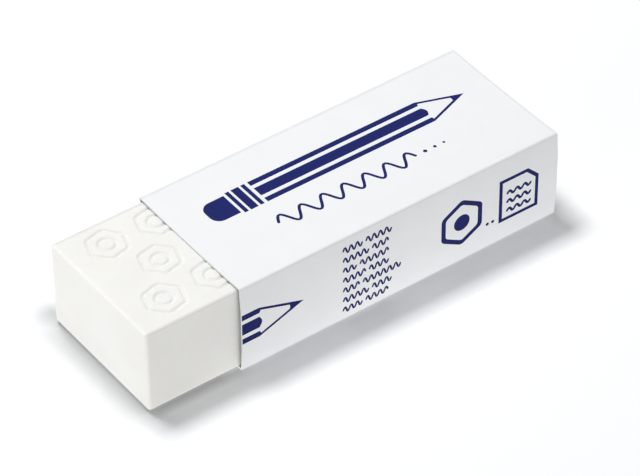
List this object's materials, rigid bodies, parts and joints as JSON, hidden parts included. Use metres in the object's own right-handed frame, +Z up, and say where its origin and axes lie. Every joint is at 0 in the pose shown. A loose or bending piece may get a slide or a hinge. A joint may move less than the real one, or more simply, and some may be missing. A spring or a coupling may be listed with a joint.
{
  "type": "rubber eraser",
  "caption": "Rectangular block eraser in a sliding sleeve of folded card that leaves its working end bare, for rubbing out pencil.",
  "frame": {"origin": "under the middle of the whole object, on the surface that the sleeve's bottom panel rests on", "axes": "+X along the eraser from its bare working end to its covered end, +Y towards the sleeve's glued lap, +Z up"},
  "size_m": [0.0654, 0.0228, 0.0139],
  "materials": {
    "vinyl": "matte",
    "card": "satin"
  },
  "bodies": {
    "block": {"eraser_block": "vinyl"},
    "sleeve": {"card_sleeve": "card"}
  },
  "joints": [
    {"name": "sleeve_slide", "type": "slide", "parent": "block", "child": "sleeve", "axis": [1, 0, 0], "range_m": [-0.014, 0.0525]}
  ]
}
